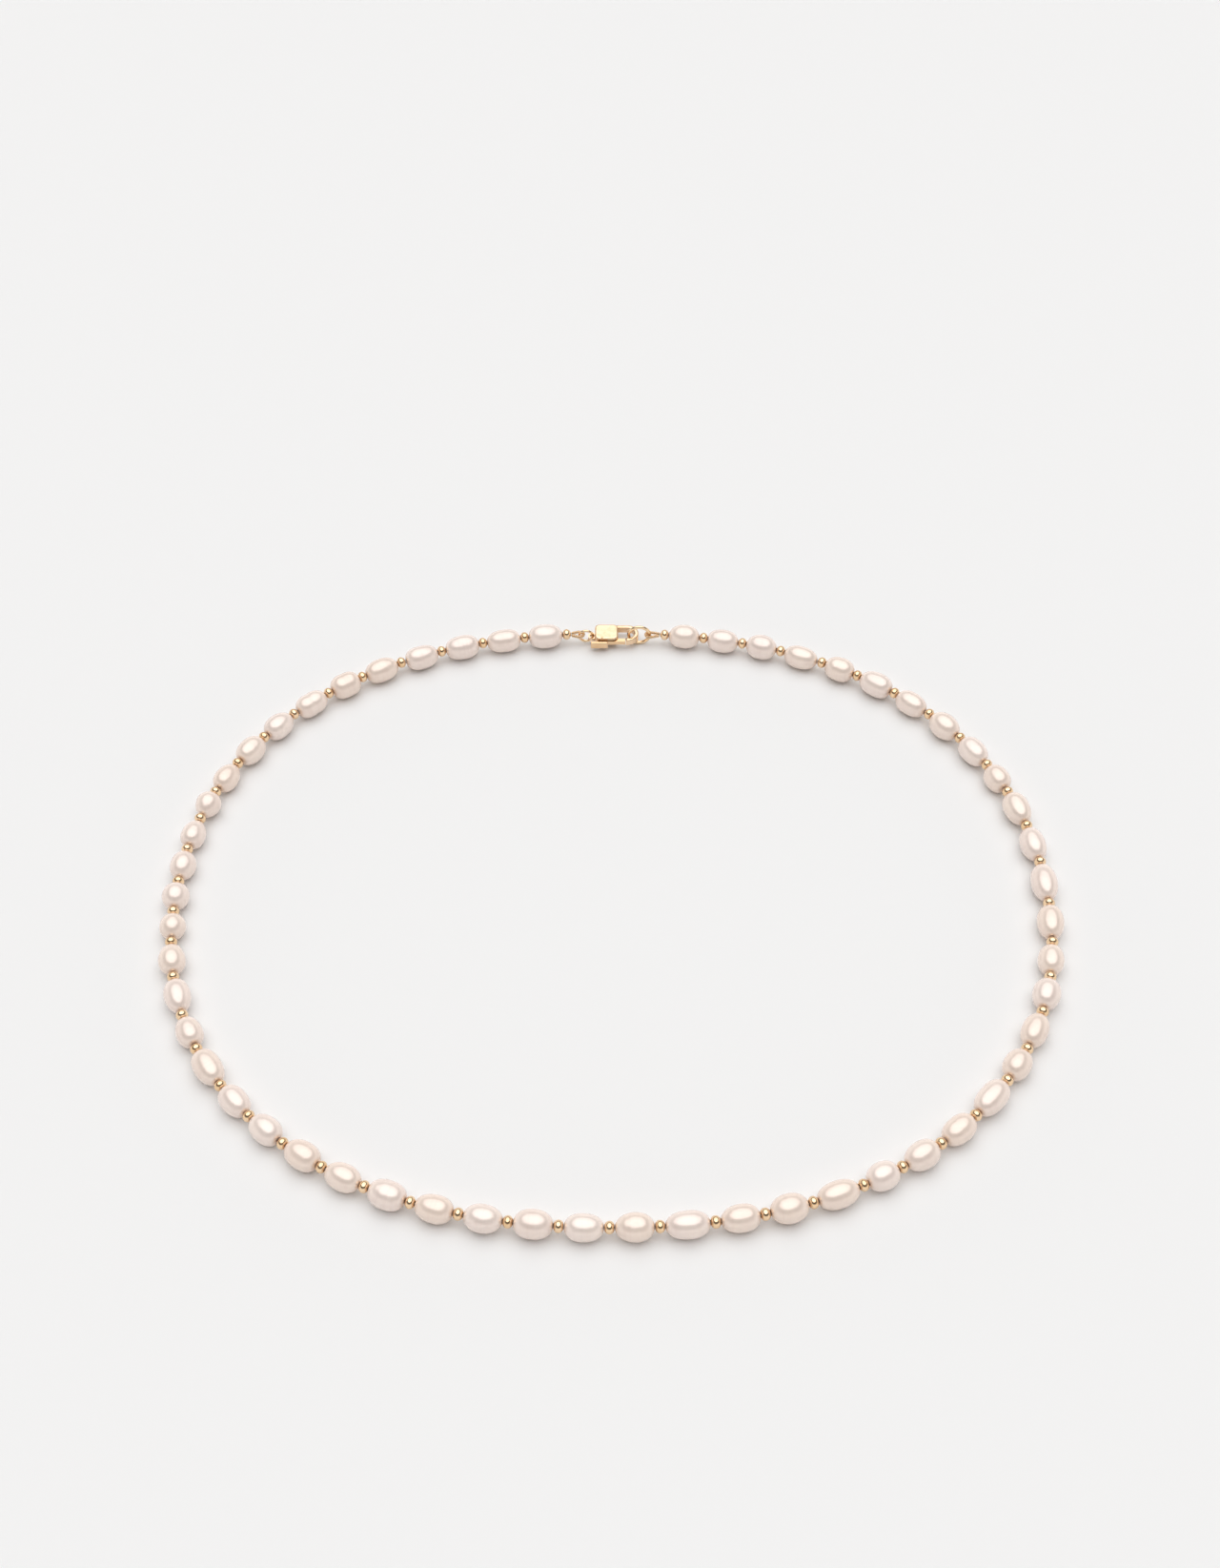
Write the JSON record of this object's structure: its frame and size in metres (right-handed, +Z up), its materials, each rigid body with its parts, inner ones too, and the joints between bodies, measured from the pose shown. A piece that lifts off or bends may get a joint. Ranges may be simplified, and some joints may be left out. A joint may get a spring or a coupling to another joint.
{
  "type": "pearl necklace",
  "caption": "Single-strand necklace of oval pearls with small gold spacer beads, closed by a lobster clasp and laid out as a loop.",
  "frame": {"origin": "on the surface that the necklace lies on, under the middle of the loop", "axes": "+X along the clasp, from its tail to its hook; +Y from the front pearl to the clasp; +Z up"},
  "size_m": [0.1582, 0.1365, 0.0048],
  "materials": {
    "pearl": "satin",
    "gold_bead": "polished",
    "gold_clasp": "polished",
    "gold_lever": "polished",
    "gold_ring": "polished",
    "gimp_wire": "satin",
    "spring_wire": "satin",
    "thread": "matte"
  },
  "bodies": {
    "back_left": {"pearls_back_left": "pearl", "spacer_beads_back_left": "gold_bead", "thread_back_left": "thread", "gimp_left": "gimp_wire", "thread_loop_left": "thread", "thread_knot_left": "thread"},
    "left_5": {"pearls_left_5": "pearl", "spacer_beads_left_5": "gold_bead", "thread_left_5": "thread"},
    "left_4": {"pearls_left_4": "pearl", "spacer_beads_left_4": "gold_bead", "thread_left_4": "thread"},
    "left_3": {"pearls_left_3": "pearl", "spacer_beads_left_3": "gold_bead", "thread_left_3": "thread"},
    "left_2": {"pearls_left_2": "pearl", "spacer_beads_left_2": "gold_bead", "thread_left_2": "thread"},
    "left_1": {"pearls_left_1": "pearl", "spacer_beads_left_1": "gold_bead", "thread_left_1": "thread"},
    "root": {"pearls_front": "pearl", "spacer_beads_front": "gold_bead", "thread_front": "thread"},
    "right_1": {"pearls_right_1": "pearl", "spacer_beads_right_1": "gold_bead", "thread_right_1": "thread"},
    "right_2": {"pearls_right_2": "pearl", "spacer_beads_right_2": "gold_bead", "thread_right_2": "thread"},
    "right_3": {"pearls_right_3": "pearl", "spacer_beads_right_3": "gold_bead", "thread_right_3": "thread"},
    "right_4": {"pearls_right_4": "pearl", "spacer_beads_right_4": "gold_bead", "thread_right_4": "thread"},
    "right_5": {"pearls_right_5": "pearl", "spacer_beads_right_5": "gold_bead", "thread_right_5": "thread"},
    "back_right": {"pearls_back_right": "pearl", "spacer_beads_back_right": "gold_bead", "thread_back_right": "thread", "gimp_right": "gimp_wire", "thread_loop_right": "thread", "thread_knot_right": "thread"},
    "tail_ring": {"tail_ring": "gold_ring"},
    "end_ring": {"end_ring": "gold_ring"},
    "clasp": {"clasp_body": "gold_clasp", "lever_pin": "gold_clasp"},
    "lever": {"clasp_lever": "gold_lever", "lever_spring": "spring_wire"}
  },
  "joints": [
    {"name": "fold_1_left", "type": "hinge", "parent": "root", "child": "left_1", "pos_m": [-0.05292, -0.0506, 0.0024], "axis": [1, 0, 0], "range_deg": [0, 40]},
    {"name": "fold_1_right", "type": "hinge", "parent": "root", "child": "right_1", "pos_m": [0.05292, -0.0506, 0.0024], "axis": [1, 0, 0], "range_deg": [0, 40]},
    {"name": "fold_2_left", "type": "hinge", "parent": "left_1", "child": "left_2", "pos_m": [-0.06906, -0.0323, 0.0024], "axis": [1, 0, 0], "range_deg": [0, 40]},
    {"name": "fold_2_right", "type": "hinge", "parent": "right_1", "child": "right_2", "pos_m": [0.06906, -0.0323, 0.0024], "axis": [1, 0, 0], "range_deg": [0, 40]},
    {"name": "fold_3_left", "type": "hinge", "parent": "left_2", "child": "left_3", "pos_m": [-0.07625, -0.01, 0.0024], "axis": [1, 0, 0], "range_deg": [0, 40]},
    {"name": "fold_3_right", "type": "hinge", "parent": "right_2", "child": "right_3", "pos_m": [0.07625, -0.01, 0.0024], "axis": [1, 0, 0], "range_deg": [0, 40]},
    {"name": "fold_4_left", "type": "hinge", "parent": "left_3", "child": "left_4", "pos_m": [-0.07267, 0.0246, 0.0024], "axis": [1, 0, 0], "range_deg": [0, 40]},
    {"name": "fold_4_right", "type": "hinge", "parent": "right_3", "child": "right_4", "pos_m": [0.07267, 0.0246, 0.0024], "axis": [1, 0, 0], "range_deg": [0, 40]},
    {"name": "fold_5_left", "type": "hinge", "parent": "left_4", "child": "left_5", "pos_m": [-0.06017, 0.0442, 0.0024], "axis": [1, 0, 0], "range_deg": [0, 40]},
    {"name": "fold_5_right", "type": "hinge", "parent": "right_4", "child": "right_5", "pos_m": [0.06017, 0.0442, 0.0024], "axis": [1, 0, 0], "range_deg": [0, 40]},
    {"name": "fold_6_left", "type": "hinge", "parent": "left_5", "child": "back_left", "pos_m": [-0.04073, 0.0579, 0.0024], "axis": [1, 0, 0], "range_deg": [0, 40]},
    {"name": "fold_6_right", "type": "hinge", "parent": "right_5", "child": "back_right", "pos_m": [0.04073, 0.0579, 0.0024], "axis": [1, 0, 0], "range_deg": [0, 40]},
    {"name": "tail_ring_swing", "type": "hinge", "parent": "back_left", "child": "tail_ring", "pos_m": [-0.00629, 0.06564, 0.0024], "axis": [0.9705, 0, -0.2411], "range_deg": [-20, 20]},
    {"name": "clasp_roll", "type": "hinge", "parent": "back_left", "child": "clasp", "pos_m": [-0.00367, 0.06564, 0.00175], "axis": [1, 0, 0], "range_deg": [-8, 8]},
    {"name": "lever_press", "type": "hinge", "parent": "clasp", "child": "lever", "pos_m": [-0.00185, 0.06459, 0.00175], "axis": [0, 0, 1], "range_deg": [0, 20], "stiffness_Nm_per_rad": 0.004, "springref_deg": -8.59, "deforming": ["lever_spring"]},
    {"name": "end_ring_swing", "type": "hinge", "parent": "back_right", "child": "end_ring", "pos_m": [0.00346, 0.06553, 0.00175], "axis": [0.987, 0, 0.1606], "range_deg": [-4, 15]}
  ],
  "couplings": [
    {"joint": "fold_1_right", "follows": "fold_1_left", "ratio": 1},
    {"joint": "fold_2_right", "follows": "fold_2_left", "ratio": 1},
    {"joint": "fold_3_right", "follows": "fold_3_left", "ratio": 1},
    {"joint": "fold_4_right", "follows": "fold_4_left", "ratio": 1},
    {"joint": "fold_5_right", "follows": "fold_5_left", "ratio": 1},
    {"joint": "fold_6_right", "follows": "fold_6_left", "ratio": 1}
  ]
}
